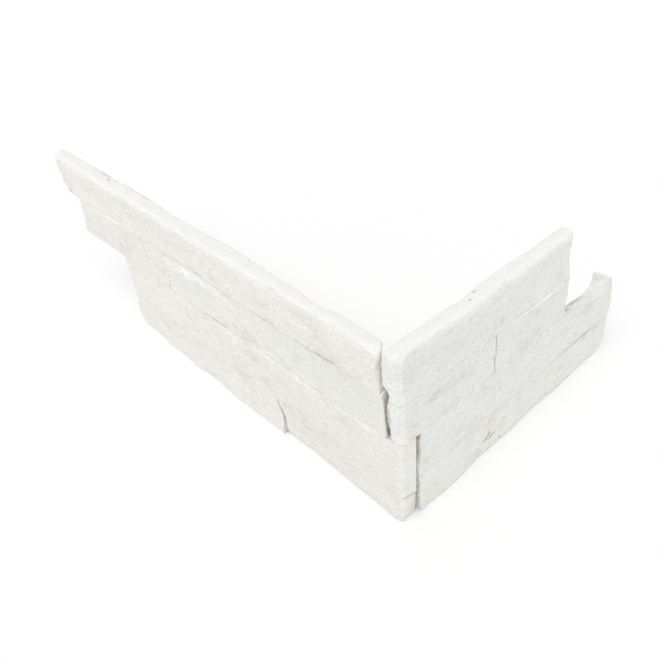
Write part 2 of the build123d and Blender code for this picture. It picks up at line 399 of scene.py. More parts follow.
class NodeBoard:
    """The node tree of one material or world, with the calls that its finish is written in."""

    def __init__(self, tree: bpy.types.NodeTree) -> None:
        """Clear the tree and keep it."""
        tree.nodes.clear()
        self.tree = tree

    def node(
        self, kind: str, settings: dict[str, object], sockets: dict[str | int, object], output: str | int = 0
    ) -> Wire | None:
        """Add a node.

        Args:
            kind: type name of the node
            settings: the node's own settings, which are set first
            sockets: values or wires of its inputs, by name or place
            output: name or place of the output to hand back

        Returns:
            The chosen output, or None where the node has none.
        """
        made = self.tree.nodes.new(kind)
        for name, value in settings.items():
            setattr(made, name, value)
        for name, value in sockets.items():
            if isinstance(value, Wire):
                self.tree.links.new(value.socket, made.inputs[name])
            else:
                made.inputs[name].default_value = value
        return Wire(self, made.outputs[output]) if made.outputs else None

    def mix(self, factor: Number, first: object, second: object) -> Wire:
        """Mix two colours.

        Args:
            factor: share of the second colour
            first: colour or wire
            second: colour or wire

        Returns:
            The mixed colour.
        """
        return self.node("ShaderNodeMix", {"data_type": "RGBA"}, {0: factor, 6: first, 7: second}, 2)

    def vector(self, operation: str, first: object, second: object, output: str | int = 0) -> Wire:
        """Work on two vectors.

        Args:
            operation: name of the Vector Math operation
            first: vector or wire
            second: vector or wire
            output: which output to hand back

        Returns:
            The result.
        """
        return self.node("ShaderNodeVectorMath", {"operation": operation}, {0: first, 1: second}, output)

    def length(self, value: Wire) -> Wire:
        """Length of a vector."""
        return self.node("ShaderNodeVectorMath", {"operation": "LENGTH"}, {0: value}, "Value")

    def finish(self, kind: str, surface: Wire) -> None:
        """Lead a shader to the tree's output node of the given kind."""
        self.node(kind, {}, {"Surface": surface})


class StoneBoard(NodeBoard):
    """The nodes of one stone's material, with textures that follow the position on the panel."""

    PATTERN_SHIFT = (3.7, 1.9, 5.3)
    CLOUD_ROUGHNESS = 0.55

    def __init__(self, tree: bpy.types.NodeTree, seed: float) -> None:
        """Clear the tree and read the position on the panel, in metres.

        Args:
            tree: node tree of the material
            seed: number that makes the stone's patterns differ from the next stone's
        """
        super().__init__(tree)
        self.seed = seed
        self.place = self.node("ShaderNodeTexCoord", {}, {}, "Object")

    def stretched(self, pitch: Place, shift: float) -> Wire:
        """Coordinates for a texture whose features have a given size.

        Args:
            pitch: feature size along X, Y and Z in millimetres
            shift: number of the pattern among the stone's own

        Returns:
            The scaled and shifted coordinates.
        """
        scaled = self.vector("MULTIPLY", self.place, [1 / (size * MM) for size in pitch])
        return self.vector("ADD", scaled, [(self.seed + shift) * value for value in self.PATTERN_SHIFT])

    def cloud(self, pitch: Place, detail: float, shift: float = 0) -> Wire:
        """Soft random patches around 0.

        Args:
            pitch: patch size along X, Y and Z in millimetres
            detail: how many finer layers it has
            shift: number of the pattern among the stone's own

        Returns:
            A value between about -0.5 and 0.5.
        """
        sockets = {
            "Vector": self.stretched(pitch, shift),
            "Scale": 1.0,
            "Detail": detail,
            "Roughness": self.CLOUD_ROUGHNESS,
        }
        return self.node("ShaderNodeTexNoise", {"noise_dimensions": "3D"}, sockets) - 0.5

    def crystals(self, pitch: float, output: str) -> Wire:
        """Crystals packed like grains of sugar.

        Args:
            pitch: size of a crystal in millimetres
            output: "Distance" from each crystal's middle, or "Color" that differs from crystal to crystal

        Returns:
            The chosen output.
        """
        sockets = {"Vector": self.stretched((pitch, pitch, pitch), 0), "Scale": 1.0}
        return self.node("ShaderNodeTexVoronoi", {"feature": "F1"}, sockets, output)


@dataclass(frozen=True)
class Stain:
    """A round mark on a stone, at a place of the panel in millimetres.

    size: half sizes along X, Y and Z
    colour: what the mark turns the stone to, in linear light
    strength: how much of the stone's own colour it covers
    ragged: how far its edge wanders, as a share of its size
    soft: share of its size over which it fades
    """

    middle: Place
    size: Place
    colour: Colour
    strength: float = 1.0
    ragged: float = 0.5
    soft: float = 0.6

    FINEST_EDGE = 1.2

    def cover(self, board: StoneBoard, shift: float) -> Wire:
        """How much of the stone the mark covers.

        Args:
            board: the material's nodes
            shift: number of the pattern of its uneven edge

        Returns:
            The cover, from 0 to 1.
        """
        offset = board.vector("SUBTRACT", board.place, [value * MM for value in self.middle])
        reach = board.length(board.vector("MULTIPLY", offset, [1 / (size * MM) for size in self.size]))
        pitch = max(self.FINEST_EDGE, min(self.size))
        uneven = reach + self.ragged * board.cloud((pitch, pitch, pitch), EDGE_DETAIL, shift)
        return (1 - uneven.step(1 - self.soft, 1.0)) * self.strength


@dataclass(frozen=True)
class Scratch:
    """A thin mark along a line of points on the panel, in millimetres."""

    points: tuple[Place, ...]
    width: float
    colour: Colour
    strength: float = 1.0

    EDGE_PITCH = (1.6, 1.6, 1.6)
    EDGE_WANDER = 0.9
    EDGE_FADE = (0.25, 1.25)

    def cover(self, board: StoneBoard, shift: float) -> Wire:
        """How much of the stone the mark covers.

        Args:
            board: the material's nodes
            shift: number of the pattern of its uneven edge

        Returns:
            The cover, from 0 to 1.
        """
        nearest: Number = 1.0
        for start, finish in zip(self.points, self.points[1:]):
            run = Vector(finish) * MM - Vector(start) * MM
            offset = board.vector("SUBTRACT", board.place, Vector(start) * MM)
            share = board.vector("DOT_PRODUCT", offset, run / run.length_squared, "Value")
            share = share.at_least(0.0).at_most(1.0)
            along = board.node("ShaderNodeCombineXYZ", {}, {0: share, 1: share, 2: share})
            foot = board.vector("MULTIPLY", along, run)
            gap = board.vector("DISTANCE", offset, foot, "Value")
            nearest = gap.at_most(nearest)
        wander = self.width * MM * self.EDGE_WANDER
        edge = nearest + board.cloud(self.EDGE_PITCH, EDGE_DETAIL, shift) * wander
        half = self.width * MM / 2
        full, gone = (share * half for share in self.EDGE_FADE)
        return (1 - edge.step(full, gone)) * self.strength


@dataclass(frozen=True)
class QuartziteFinish:
    """Riven white quartzite, with the numbers in which one stone differs from the next.

    body: colour of the clean stone, in linear light
    cool: how far its clouding runs to grey-green, from 0 to 1
    seed: shift of every pattern
    marks: stains and scratches laid on the stone, some of them painted highlights, shade and shadow lines
    """

    body: Colour
    cool: float
    seed: float
    marks: tuple[Stain | Scratch, ...] = ()

    CLOUD_PITCH = (80.0, 80.0, 34.0)
    MOTTLE_PITCH = (11.0, 11.0, 5.0)
    FLECK_PITCH = (3.4, 3.4, 2.4)
    SUGAR_PITCH = (0.8, 0.8, 0.8)
    BED_PITCH = (70.0, 70.0, 2.4)
    RIPPLE_PITCH = (3.2, 3.2, 2.4)
    CRYSTAL = 1.3
    GRAIN = 0.9
    GRAIN_HEIGHT = 0.5
    GLOSS = 0.35
    MATT = 0.74
    # Greyer colour of the darker grains and crystals, also laid as painted shade in the low spots of the
    # relief
    SHADE = (0.63, 0.625, 0.57, 1.0)
    COOL_GREY = (0.775, 0.79, 0.745, 1.0)
    WARM_GREY = (0.845, 0.81, 0.765, 1.0)
    CRYSTAL_WHITE = (0.955, 0.955, 0.945, 1.0)
    # Painted top light: the whiter colour laid on the up-facing open top
    TOP_LIGHT_WHITE = (0.915, 0.917, 0.905, 1.0)
    # Painted highlight: the brighter colour of the band along the top's front arris
    CREST_LIGHT_WHITE = (0.945, 0.938, 0.910, 1.0)

    def colour(self, board: StoneBoard) -> Wire:
        """Colour of the stone before its marks, with painted top light, a painted highlight on the top's
        front arris and painted shade in the relief's hollows.

        Each layer is a pattern, the values at which it starts to show and shows in full, its share there, and
        its colour.

        Args:
            board: the material's nodes

        Returns:
            The colour.
        """
        cloud = board.cloud(self.CLOUD_PITCH, 3.0)
        warmth = board.cloud(self.CLOUD_PITCH, 2.0, 4.1)
        mottle = board.cloud(self.MOTTLE_PITCH, 4.0)
        fleck = board.cloud(self.FLECK_PITCH, 3.0, 6.7)
        bed = board.cloud(self.BED_PITCH, 2.0)
        pick = board.node("ShaderNodeSeparateColor", {}, {0: board.crystals(self.CRYSTAL, "Color")})
        layers = (
            (warmth, 0.02, 0.3, 0.16, self.WARM_GREY),
            (mottle, 0.02, 0.3, 0.42, self.CRYSTAL_WHITE),
            (-mottle, 0.02, 0.36, 0.2, self.SHADE),
            (fleck, 0.06, 0.26, 0.62, self.CRYSTAL_WHITE),
            (-fleck, 0.06, 0.28, 0.27, self.SHADE),
            (bed, 0.1, 0.3, 0.12, self.SHADE),
            (pick, 0.68, 1.0, 0.62, self.CRYSTAL_WHITE),
            (1 - pick, 0.7, 1.0, 0.24, self.SHADE),
        )
        tint = board.mix((cloud * 0.8 + self.cool).at_least(0.0), self.body, self.COOL_GREY)
        for pattern, start, full, share, shade in layers:
            tint = board.mix(pattern.step(start, full) * share, tint, shade)
        top_light, crest_light, low = (
            board.node("ShaderNodeAttribute", {"attribute_name": zone}, {}, "Fac")
            for zone in ("top_light", "crest_light", "low")
        )
        # Painted top light: surfaces of the open top are whitened the more squarely they face up
        tint = board.mix(top_light * (0.62 + mottle), tint, self.TOP_LIGHT_WHITE)
        # Painted highlight along the top's front arris
        tint = board.mix(crest_light * (0.68 + fleck), tint, self.CREST_LIGHT_WHITE)
        # Painted shade: the low spots of the relief are darkened
        return board.mix(low * 0.5, tint, self.SHADE)

    def height(self, board: StoneBoard) -> Wire:
        """Height of the crystal grain, for the bump.

        Args:
            board: the material's nodes

        Returns:
            A height between about -1 and 1.
        """
        crystals = board.crystals(self.CRYSTAL, "Distance")
        sugar = board.cloud(self.SUGAR_PITCH, 3.0)
        ripple = board.cloud(self.RIPPLE_PITCH, 3.0)
        return sugar * 0.8 - crystals * 0.7 + ripple * 1.6

    def roughness(self, board: StoneBoard) -> Wire:
        """Roughness: matt, with small crystal faces that shine a little.

        Args:
            board: the material's nodes

        Returns:
            The roughness.
        """
        sparkle = board.cloud(self.SUGAR_PITCH, 1.0, 2.3).step(0.16, 0.3)
        return self.MATT - sparkle * 0.34

    def build(self, name: str) -> bpy.types.Material:
        """Make the material.

        Args:
            name: name of the material

        Returns:
            The material.
        """
        material = bpy.data.materials.new(name)
        material.use_nodes = True
        board = StoneBoard(material.node_tree, self.seed)
        colour = self.colour(board)
        for index, mark in enumerate(self.marks):
            colour = board.mix(mark.cover(board, index), colour, mark.colour)
        grain = {"Height": self.height(board), "Strength": self.GRAIN, "Distance": self.GRAIN_HEIGHT * MM}
        sockets = {
            "Base Color": colour,
            "Roughness": self.roughness(board),
            "Normal": board.node("ShaderNodeBump", {}, grain),
            "Specular IOR Level": self.GLOSS,
        }
        board.finish("ShaderNodeOutputMaterial", board.node("ShaderNodeBsdfPrincipled", {}, sockets))
        return material


def evaluated(name: str, mesh: bpy.types.Mesh, modifiers: list[tuple[str, dict]]) -> bpy.types.Mesh:
    """Run a mesh through modifiers.

    Args:
        name: name of the helper object
        mesh: mesh to start from
        modifiers: each modifier's type and settings

    Returns:
        The resulting mesh.
    """
    helper = bpy.data.objects.new(name, mesh)
    bpy.context.scene.collection.objects.link(helper)
    for kind, settings in modifiers:
        modifier = helper.modifiers.new(kind.lower(), kind)
        for key, value in settings.items():
            setattr(modifier, key, value)
    made = bpy.data.meshes.new_from_object(helper.evaluated_get(bpy.context.evaluated_depsgraph_get()))
    bpy.data.objects.remove(helper)
    bpy.data.meshes.remove(mesh)
    return made


def keep_inside(mesh: bpy.types.Mesh) -> None:
    """Keep a mesh inside the box of the whole CAD model.

    Args:
        mesh: mesh to change
    """
    flat = np.empty(len(mesh.vertices) * 3, np.float32)
    mesh.vertices.foreach_get("co", flat)
    low, high = (np.array(corner, np.float32) for corner in CAD_BOX)
    mesh.vertices.foreach_set("co", np.clip(flat.reshape(-1, 3), low, high).ravel())
    mesh.update()


@dataclass
class RivenStone:
    """One strip of the panel, made from its CAD node: eased, worn at its arrises, chipped and riven.

    node: name of the CAD node that the stone stands for
    seed: number of its own random fields
    worn: the arrises that are not tight against a neighbour, each with its wear
    leg, mesh, places, normals: set when the blank is cut
    open_head_from: place along the leg from which its upper bed lies open, in millimetres
    """

    node: str
    seed: int
    finish: QuartziteFinish
    worn: dict[Arris, Wear] = field(default_factory=dict)
    breaks: tuple[Break, ...] = ()
    hollows: tuple[Hollow, ...] = ()
    open_head_from: float = math.inf
    relief: Relief = Relief()
    leg: Leg = field(init=False)
    mesh: bpy.types.Mesh = field(init=False, repr=False)
    places: np.ndarray = field(init=False, repr=False)
    normals: np.ndarray = field(init=False, repr=False)

    FACE_ARRISES = (Arris.FACE_HEAD, Arris.FACE_FOOT, Arris.NEAR_END, Arris.FAR_END)
    FACE_STRIP = (1.0, 3.5)
    FACING_OUT = 0.6
    END_MARGIN = 5.0
    LEAN_DEPTH = (4.0, 12.0)
    FILL = 0.9
    FILL_FADE = (1.2, 2.2)
    ARRIS_REACH = 9.0
    RAGGED_PITCH = (7.0, 1.0, 1.0)
    BITE_PITCH = (16.0, 1.0, 1.0)
    BITES_FROM = (0.1, 0.8)
    ROUGH_PITCH = (3.0, 3.0, 3.0)
    ROUNDING_LIMIT = 0.42
    RADIUS_WANDER = 0.3
    CHIP_SHARE = 1.2
    CHIP_WANDER = 0.8
    LUMPY_CHIP = 0.8
    CHIP_LUMPS = 0.35
    BREAK_WANDER = 0.2
    BREAK_LUMPS = 0.24
    TALL_LUMPS = 0.06
    SMALLEST_CUT = 0.05
    OVERCUT = 0.3
    BED_EDGE = (0.5, 3.0)

    def cut_blank(self, leg: Leg) -> None:
        """Remesh the CAD solid evenly, as a blank for the work.

        Args:
            leg: the leg that the stone belongs to
        """
        self.leg = leg
        steps = [
            ("REMESH", {"mode": "VOXEL", "voxel_size": VOXEL * MM}),
            ("SMOOTH", {"factor": 0.5, "iterations": 1}),
        ]
        self.mesh = evaluated(f"blank_{self.node}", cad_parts[self.node].data.copy(), steps)
        flat = np.empty(len(self.mesh.vertices) * 3, np.float32)
        turn = leg.axes().T
        self.mesh.vertices.foreach_get("co", flat)
        self.places = flat.reshape(-1, 3).astype(float) @ turn / MM
        self.mesh.vertex_normals.foreach_get("vector", flat)
        self.normals = flat.reshape(-1, 3).astype(float) @ turn

    def corner(self, arris: Arris) -> tuple[np.ndarray, np.ndarray]:
        """How far each point lies inside the sharp corner that an arris would have.

        Args:
            arris: which arris

        Returns:
            The distances behind its two surfaces, in millimetres.
        """
        first, first_sign, second, second_sign, gap = arris.value
        run = self.places[:, 3 - first - second]
        steps = (run - run.min()) / BIN
        bins = np.floor(steps).astype(int)
        middles = np.arange(bins.max() + 1) + 0.5
        one = first_sign * self.places[:, first]
        two = second_sign * self.places[:, second]
        top = np.interp(steps, middles, highest(two, bins, np.ones(len(two), bool)))
        beside = (two < top - gap) & (two > top - gap - STRIP)
        edge = np.interp(steps, middles, highest(one, bins, beside))
        beside = (one < edge - gap) & (one > edge - gap - STRIP)
        return edge - one, np.interp(steps, middles, highest(two, bins, beside)) - two

    def shift(self, arris: Arris, one: np.ndarray, two: np.ndarray) -> None:
        """Move the points inwards from an arris's two surfaces.

        Args:
            arris: which arris
            one: how far each point moves in from the first surface, in millimetres
            two: how far it moves in from the second
        """
        first, first_sign, second, second_sign, _ = arris.value
        self.places[:, first] -= first_sign * one
        self.places[:, second] -= second_sign * two

    def face_line(self, arris: Arris, grid: np.ndarray) -> np.ndarray:
        """How far out the face stands beside a bed, along the leg.

        Args:
            arris: the face arris of that bed
            grid: places along the leg in millimetres

        Returns:
            The distance from the back at each place, and nan beyond the stone's ends.
        """
        along, out, up = self.places.T
        sign = arris.value[3]
        behind = (sign * up).max() - sign * up
        nearest, farthest = self.FACE_STRIP
        band = (behind > nearest) & (behind < farthest) & (self.normals[:, 1] > self.FACING_OUT)
        bins = np.clip(np.searchsorted(grid, along[band]), 0, len(grid) - 1)
        count = np.bincount(bins, minlength=len(grid))
        total = np.bincount(bins, out[band], len(grid))
        line = total / np.where(count, count, np.nan)
        line[(grid < along.min() + self.END_MARGIN) | (grid > along.max() - self.END_MARGIN)] = np.nan
        return line

    def lean_face(self, arris: Arris, grid: np.ndarray, amount: np.ndarray, height: float) -> None:
        """Lean the face in or out towards a bed.

        Args:
            arris: the face arris of that bed
            grid: places along the leg in millimetres
            amount: how far the face moves out at each place
            height: height over which the lean fades
        """
        along, out, up = self.places.T
        sign = arris.value[3]
        behind = (sign * up).max() - sign * up
        weight = (1 - smooth_step(behind, 0.0, height)) * smooth_step(out, *self.LEAN_DEPTH)
        self.places[:, 1] += np.interp(along, grid, amount) * weight

    def sharpen(self, arris: Arris) -> None:
        """Fill the rounding that remeshing left on a tight arris.

        Args:
            arris: which arris
        """
        one, two = self.corner(arris)
        fade = 1 - smooth_step(np.maximum(one, two), *self.FILL_FADE)
        fill = np.clip(np.minimum(one, two), 0, self.FILL) * fade
        self.shift(arris, -fill, -fill)

    def wear_arris(self, arris: Arris, index: int) -> None:
        """Round an arris over and chip it along a ragged line.

        Args:
            arris: which arris
            index: number of the arris, for its own random line
        """
        wear = self.worn.get(arris, TIGHT)
        first, _, second, _, _ = arris.value
        run = self.places[:, 3 - first - second]
        line = np.column_stack([run, np.zeros((len(run), 2))])
        seed = self.seed * 10 + index
        one, two = self.corner(arris)
        close = (one < self.ARRIS_REACH) & (two < self.ARRIS_REACH)
        ragged, bites, rough = np.zeros((3, len(run)))
        ragged[close] = random_field(line[close], self.RAGGED_PITCH, seed, 3)
        bites[close] = smooth_step(random_field(line[close], self.BITE_PITCH, seed + 5, 3), *self.BITES_FROM)
        rough[close] = random_field(self.places[close], self.ROUGH_PITCH, seed + 7, 2)
        radius = wear.rounding * (1 + self.RADIUS_WANDER * ragged)
        inside = close & (one < radius) & (two < radius)
        reach = np.hypot(radius - one, radius - two)
        outside = np.clip(reach - radius, 0, self.ROUNDING_LIMIT * radius)
        over = np.where(inside, outside / np.maximum(reach, 1e-6), 0)
        self.shift(arris, (radius - one) * over, (radius - two) * over)
        one, two = self.corner(arris)
        chip = wear.chips * bites * (self.CHIP_SHARE + self.CHIP_WANDER * ragged)
        lumps = rough * np.minimum(chip, self.LUMPY_CHIP) * self.CHIP_LUMPS
        self.cut(arris, one, two, chip, chip, lumps)
        for item in self.breaks:
            if item.arris is arris:
                share = item.share_at(run) * (1 + self.BREAK_WANDER * ragged)
                one, two = self.corner(arris)
                lumps = rough * share * (self.BREAK_LUMPS + self.TALL_LUMPS * item.height)
                self.cut(arris, one, two, item.depth * share, item.height * share, lumps)

    def cut(
        self,
        arris: Arris,
        one: np.ndarray,
        two: np.ndarray,
        depth: np.ndarray,
        height: np.ndarray,
        rough: np.ndarray,
    ) -> None:
        """Cut an arris back to a slanting plane.

        Args:
            arris: which arris
            one: distance of each point behind the arris's first surface
            two: distance behind its second surface
            depth: how far the plane cuts into the first surface
            height: how far it cuts into the second
            rough: unevenness of the plane
        """
        span = np.hypot(depth, height)
        real = span > self.SMALLEST_CUT
        span = np.where(real, span, 1.0)
        over = (depth * height - one * height - two * depth) / span + rough
        over = np.where(real, np.clip(over, 0, depth * height / span + self.OVERCUT), 0)
        self.shift(arris, over * height / span, over * depth / span)

    def press_hollows(self) -> None:
        """Press the dents and chips into the stone."""
        for index, hollow in enumerate(self.hollows):
            self.places -= self.normals * hollow.depth_at(self.places, self.seed + index)[:, None]

    def rive(self) -> dict[str, np.ndarray]:
        """Give the riven face, the broken ends, the beds and the sawn back their relief.

        Returns:
            For each point, from 0 to 1: how low it lies in the relief, for the painted shade; how far it
                belongs to the panel's open top, for the painted top light; and how near it is to the top's
                front arris, for the painted highlight.
        """
        relief, seed = self.relief, 7 if self.leg is Leg.LONG else 3
        _, out, up = self.normals.T
        face = smooth_step(out, *relief.FACE_TURN)
        back = smooth_step(-out, *relief.BACK_TURN)
        bed = smooth_step(np.abs(up), *relief.BED_TURN) * (1 - face)
        level = random_field(self.places, relief.CLEFT_PITCH, seed, 2) * relief.CLEFTS
        level += random_field(self.places, relief.CLEFT_EDGE_PITCH, self.seed + 31, 2) * relief.CLEFT_EDGE
        steps = np.floor(level) + smooth_step(level - np.floor(level), *relief.CLEFT_RISE)
        swell = random_field(self.places, relief.SWELL_PITCH, seed + 11, 2)
        ripple = random_field(self.places, relief.RIPPLE_PITCH, seed + 17, 2)
        lump = random_field(self.places, relief.LUMP_PITCH, self.seed + 23, 2)
        grain = random_field(self.places, relief.GRAIN_PITCH, self.seed + 27, 1)
        share = 1 - (1 - relief.end_share) * (1 - face)
        share = share * (1 - back) + relief.sawn_share * back
        high = self.places[:, 2] > self.places[:, 2].max() - BED_BAND
        open_bed = high & (self.places[:, 0] > self.open_head_from)
        bed_share = np.where(open_bed, relief.open_bed_share, relief.closed_bed_share)
        share = share * (1 - bed) + bed_share * bed
        broad = relief.swell * swell + relief.step * (steps - level)
        height = face * broad * share
        height += (relief.ripple * ripple + relief.lump * lump + relief.grain * grain) * share
        height -= relief.SINK * share
        lift = self.normals * np.minimum(height, relief.TALLEST)[:, None]
        lift[:, 2] *= self.looseness(open_bed)
        self.places += lift
        top = open_bed & (self.places[:, 2] > TOP_BAND)
        one, two = self.corner(Arris.FACE_HEAD)
        return {
            "low": smooth_step(-height, *relief.LOW_SHADE_DEPTH) * (1 - back),
            "top_light": smooth_step(up, *relief.TOP_TURN) * top,
            "crest_light": (1 - smooth_step(np.maximum(one, two), *relief.CREST_LIGHT_WIDTH)) * top,
        }

    def looseness(self, open_bed: np.ndarray) -> np.ndarray:
        """Share of its upward relief that a point keeps, which is none on a bed that lies on another.

        Args:
            open_bed: which points lie near a bed that is open to the sky

        Returns:
            The share for each point, from 0 to 1.
        """
        up = self.places[:, 2]
        head = np.maximum(smooth_step(up.max() - up, *self.BED_EDGE), open_bed)
        return head * smooth_step(up - up.min(), *self.BED_EDGE)

    def put_back(self, zones: dict[str, np.ndarray]) -> None:
        """Put the worked points back into the mesh.

        Args:
            zones: named values of the points, from 0 to 1, for the finish to read
        """
        points = self.places @ self.leg.axes() * MM
        self.mesh.vertices.foreach_set("co", points.astype(np.float32).ravel())
        for name, values in zones.items():
            layer = self.mesh.attributes.new(name, "FLOAT", "POINT")
            layer.data.foreach_set("value", values.astype(np.float32))
        self.mesh.update()

    def complete(self) -> None:
        """Work the blank, put the stone on the body and hide its CAD node."""
        tight = [arris for arris in self.FACE_ARRISES if arris not in self.worn]
        for arris in tight:
            self.sharpen(arris)
        touched = {*tight, *self.worn, *(item.arris for item in self.breaks)}
        for index, arris in enumerate(Arris):
            if arris in touched:
                self.wear_arris(arris, index)
        self.press_hollows()
        self.put_back(self.rive())
        thinned = evaluated(f"thinned_{self.node}", self.mesh, [("DECIMATE", {"ratio": KEPT_SHARE})])
        keep_inside(thinned)
        thinned.name = f"riven_{self.node}"
        thinned.shade_smooth()
        thinned.materials.clear()
        thinned.materials.append(self.finish.build(f"quartzite_{self.node}"))
        piece = bpy.data.objects.new(f"riven_{self.node}", thinned)
        bpy.context.scene.collection.objects.link(piece)
        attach(piece, BODY)
        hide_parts(self.node)
        log.info("%s: %d faces", piece.name, len(thinned.polygons))


WARM_WHITE = (0.888, 0.874, 0.838, 1.0)
CLEAR_WHITE = (0.890, 0.882, 0.850, 1.0)
COOL_WHITE = (0.882, 0.888, 0.852, 1.0)
DULL_WHITE = (0.868, 0.856, 0.820, 1.0)
RUST = (0.17, 0.105, 0.06, 1.0)
BLUSH = (0.80, 0.735, 0.68, 1.0)
SOOT = (0.16, 0.16, 0.145, 1.0)
# Olive dirt in the gaps and seams, also used as painted shade under the top strip's overhanging end
OLIVE_DIRT_AND_SHADE = (0.42, 0.385, 0.25, 1.0)
# Dark dirt in the seams, also painted as the shadow line under a stone that stands proud
SEAM_DIRT_AND_SHADOW = (0.34, 0.33, 0.27, 1.0)
CRACK_DIRT = (0.24, 0.23, 0.20, 1.0)
COOL_CAST = (0.80, 0.815, 0.77, 1.0)
END_CAST = (0.905, 0.915, 0.88, 1.0)
# Painted highlight: near-white laid on proud and bevelled arrises
PAINTED_ARRIS_LIGHT = (0.96, 0.955, 0.935, 1.0)
WARM_CAST = (0.80, 0.782, 0.742, 1.0)
# Grey dirt on broken stone, also used as painted shade along the top's back edge and in the short leg's
# hollowed bed
GREY_DIRT_AND_SHADE = (0.42, 0.405, 0.36, 1.0)


@dataclass
class PanelLeg:
    """One leg of the panel: its stones and the joints between them.

    lean_height: height over which a face leans to meet its neighbour flush, in millimetres
    lean_past: how far past a joint's ends the lean starts to fade, and where it has gone, in millimetres
    """

    leg: Leg
    stones: list[RivenStone]
    joints: tuple[Joint, ...]
    lean_height: float = 15.0
    lean_past: tuple[float, float] = (4.0, 30.0)

    def meet(self, joint: Joint) -> None:
        """Lean the faces of two stones so that they meet at their joint.

        Args:
            joint: the joint between them
        """
        named = {stone.node: stone for stone in self.stones}
        sides = ((named[joint.upper], Arris.FACE_FOOT, 0.5), (named[joint.lower], Arris.FACE_HEAD, -0.5))
        along = np.concatenate([stone.places[:, 0] for stone, _, _ in sides])
        grid = np.arange(along.min(), along.max() + BIN, BIN)
        lines = [stone.face_line(arris, grid) for stone, arris, _ in sides]
        shared = np.flatnonzero(np.isfinite(lines[0]) & np.isfinite(lines[1]))
        middle = (lines[0] + lines[1])[shared] / 2
        proud = joint.proud_at(grid[shared])
        for (stone, arris, share), line in zip(sides, lines):
            change = middle + share * proud - line[shared]
            change = np.convolve(np.pad(change, 2, mode="edge"), np.ones(5) / 5, mode="valid")
            amount = np.interp(grid, grid[shared], change, left=change[0], right=change[-1])
            outside = np.maximum(grid[shared[0]] - grid, grid - grid[shared[-1]])
            amount *= 1 - smooth_step(outside, *self.lean_past)
            stone.lean_face(arris, grid, amount, self.lean_height)

    def build(self) -> None:
        """Make every stone of the leg, and lean their faces together between the first cut and the rest."""
        for stone in self.stones:
            stone.cut_blank(self.leg)
        for joint in self.joints:
            self.meet(joint)
        for stone in self.stones:
            stone.complete()


# Marks of the long leg: dirt in seams and gaps with painted shadow lines under proud stones, painted
# highlights on proud and broken arrises, painted shade under an overhang and along the top's back edge, and
# casts of colour
LONG_PITS = (
    Stain((-350, -2, 152), (13, 3, 3), SOOT, 0.24, 2.2, 0.9),
    Stain((-338, -5.5, 152), (4, 2.4, 3), SOOT, 0.34, 2.2, 0.9),
)
# Dirt and a painted shadow line under the top strip where it stands proud of the inner second strip
UPPER_SEAM = (Stain((-84, -16, 118), (78, 9, 1.2), SEAM_DIRT_AND_SHADOW, 0.75, 0.5, 0.7),)
BUTT_SEAM = (Scratch(((-251, -16.5, 118.5), (-251, -15.5, 102)), 2.2, SEAM_DIRT_AND_SHADOW, 0.5),)
# Painted shade under the top strip's end where it overhangs the outer second strip
OVERHANG_SHADE = (Stain((-419, -15, 119), (15, 9, 3.4), OLIVE_DIRT_AND_SHADE, 0.4, 0.8, 0.8),)
# Dirt and a painted shadow line under the inner second strip's proud foot
MIDDLE_SEAM = (Stain((-190, -16, 80), (23, 9, 1.2), SEAM_DIRT_AND_SHADOW, 0.75, 0.5, 0.7),)
# Painted highlights where the arrises of proud and bevelled stones catch the light
OUTER_ARRIS_LIGHT = (Stain((-344, -16, 117.6), (36, 9, 1.2), PAINTED_ARRIS_LIGHT, 0.85, 0.5, 0.6),)
BEVEL_LIGHT = (Stain((-205, -14, 113), (52, 12, 6.5), PAINTED_ARRIS_LIGHT, 0.75, 1.3, 0.8),)
PROUD_ARRIS_LIGHT = (Stain((-88, -16, 78.8), (104, 12, 3), PAINTED_ARRIS_LIGHT, 0.5, 0.9, 0.9),)
# Dirt and painted shadow lines where the third strip stands proud of the outer bottom strip
LOWER_SEAM = (
    Stain((-265, -16, 38), (10, 9, 0.9), SEAM_DIRT_AND_SHADOW, 0.6, 0.5, 0.7),
    Stain((-203, -16, 38), (12, 9, 0.9), SEAM_DIRT_AND_SHADOW, 0.5, 0.5, 0.7),
)
NEAR_SHADE = (Stain((-45, -15, 70), (120, 20, 110), WARM_CAST, 0.3, 0.4, 0.9),)
# Painted shade along the back edge of the top strip's top, which slopes away from the light
BACK_EDGE_SHADE = (Stain((-215, 0, 153), (238, 4, 4), GREY_DIRT_AND_SHADE, 0.3, 1.6, 0.9),)
CORNER_CAST = (Stain((-30, -15, 98), (85, 20, 30), COOL_CAST, 0.55, 0.4, 0.9),)
LAP_CAST = (Stain((18, -7, 40), (9, 16, 60), END_CAST, 0.8, 0.3, 0.9),)
CRACK = (
    Scratch(((14.8, -11, 27), (14.6, -5, 25.4), (13.6, 1, 22.4)), 4.2, CRACK_DIRT, 0.3),
    Stain((15, -2, 13), (5, 7, 12), GREY_DIRT_AND_SHADE, 0.3, 1.4, 0.9),
)
CORNER_DIRT = (
    Stain((4, -8, 100), (4, 12, 18), OLIVE_DIRT_AND_SHADE, 0.75, 0.8, 0.6),
    Stain((3, -8, 84), (3, 10, 8), OLIVE_DIRT_AND_SHADE, 0.75, 0.8, 0.6),
)


